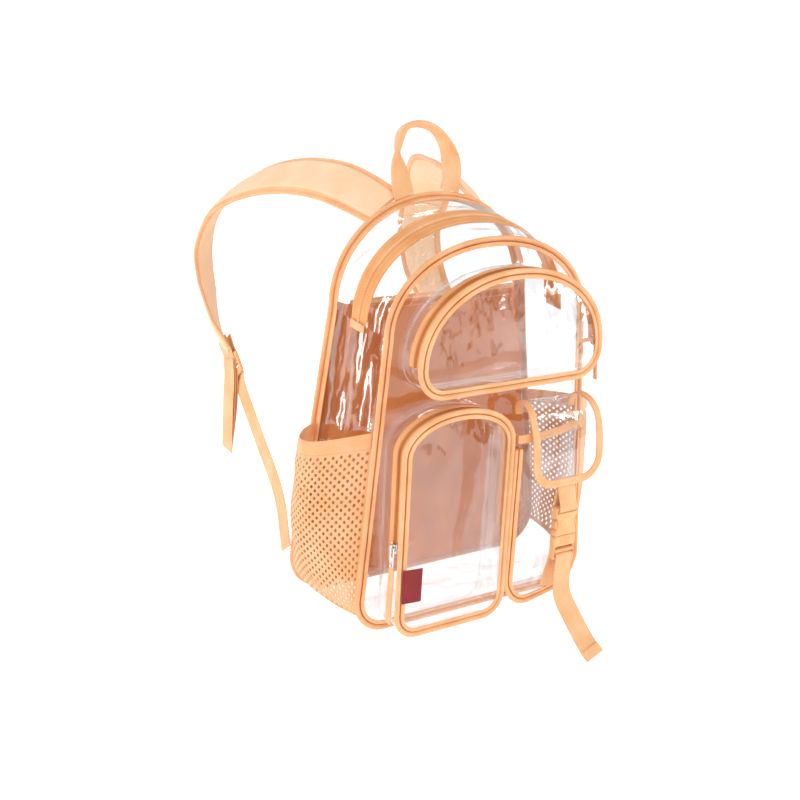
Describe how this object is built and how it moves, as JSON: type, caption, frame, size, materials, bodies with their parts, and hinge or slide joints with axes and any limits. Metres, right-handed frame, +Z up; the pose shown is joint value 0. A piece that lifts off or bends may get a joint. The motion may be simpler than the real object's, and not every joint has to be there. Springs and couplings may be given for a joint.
{
  "type": "clear backpack",
  "caption": "Clear vinyl backpack with bound seams, zipped and flapped front pockets, mesh side pockets, padded straps and a grab handle.",
  "frame": {"origin": "between the two shoulder straps, level with their undersides where they rest on the wearer's shoulders", "axes": "+X to the right as the front is seen, -Y the bag's front, +Y towards the wearer, +Z up"},
  "size_m": [0.3846, 0.4883, 0.5765],
  "materials": {
    "clear_vinyl": "clear glossy flexible vinyl",
    "peach_trim": "woven binding, satin",
    "peach_tape": "zip tape with a nylon coil",
    "peach_webbing": "ribbed woven webbing",
    "peach_fabric": "smooth padded fabric",
    "peach_mesh": "knitted mesh with round holes",
    "peach_plastic": "moulded plastic",
    "sleeve_fabric": "padded fabric",
    "chrome": "polished",
    "red_fabric": "plain woven label"
  },
  "bodies": {
    "bag": {"back_panel": "clear_vinyl", "front_panel": "clear_vinyl", "lower_gusset": "clear_vinyl", "rear_top_gusset": "clear_vinyl", "front_top_gusset": "clear_vinyl", "upper_pocket_gusset": "clear_vinyl", "upper_pocket_rear_strip": "clear_vinyl", "upper_pocket_face": "clear_vinyl", "left_pocket_gusset": "clear_vinyl", "left_pocket_rear_strip": "clear_vinyl", "left_pocket_face": "clear_vinyl", "right_pocket_gusset": "clear_vinyl", "right_pocket_face": "clear_vinyl", "flap": "clear_vinyl", "left_wing": "clear_vinyl", "right_wing": "clear_vinyl", "back_piping": "peach_trim", "front_piping": "peach_trim", "upper_pocket_piping": "peach_trim", "upper_pocket_pull": "peach_trim", "upper_pocket_end_tab": "peach_trim", "left_pocket_piping": "peach_trim", "left_pocket_end_tab": "peach_trim", "right_pocket_piping": "peach_trim", "right_pocket_rim": "peach_trim", "flap_binding": "peach_trim", "left_mesh_band": "peach_trim", "right_mesh_band": "peach_trim", "main_zip_tape": "peach_tape", "upper_pocket_zip_tape": "peach_tape", "left_pocket_zip_tape": "peach_tape", "flap_strap": "peach_webbing", "lower_strap": "peach_webbing", "strap_tail": "peach_webbing", "grab_handle": "peach_webbing", "left_lower_webbing": "peach_webbing", "right_lower_webbing": "peach_webbing", "left_loose_webbing": "peach_webbing", "right_loose_webbing": "peach_webbing", "left_strap_pad": "peach_fabric", "right_strap_pad": "peach_fabric", "left_mesh_pocket": "peach_mesh", "right_mesh_pocket": "peach_mesh", "buckle_upper": "peach_plastic", "buckle_lower": "peach_plastic", "left_adjuster": "peach_plastic", "right_adjuster": "peach_plastic", "inner_sleeve": "sleeve_fabric", "left_pocket_slider": "chrome", "upper_pocket_slider": "chrome", "main_zip_slider": "chrome", "left_pocket_label": "red_fabric"},
    "zip_puller": {"left_pocket_puller": "chrome", "left_pocket_pull_tab": "peach_trim"}
  },
  "joints": [
    {"name": "puller_hinge", "type": "hinge", "parent": "bag", "child": "zip_puller", "pos_m": [-0.1318, -0.2545, -0.3358], "axis": [0, 1, 0], "range_deg": [0, 150]}
  ]
}
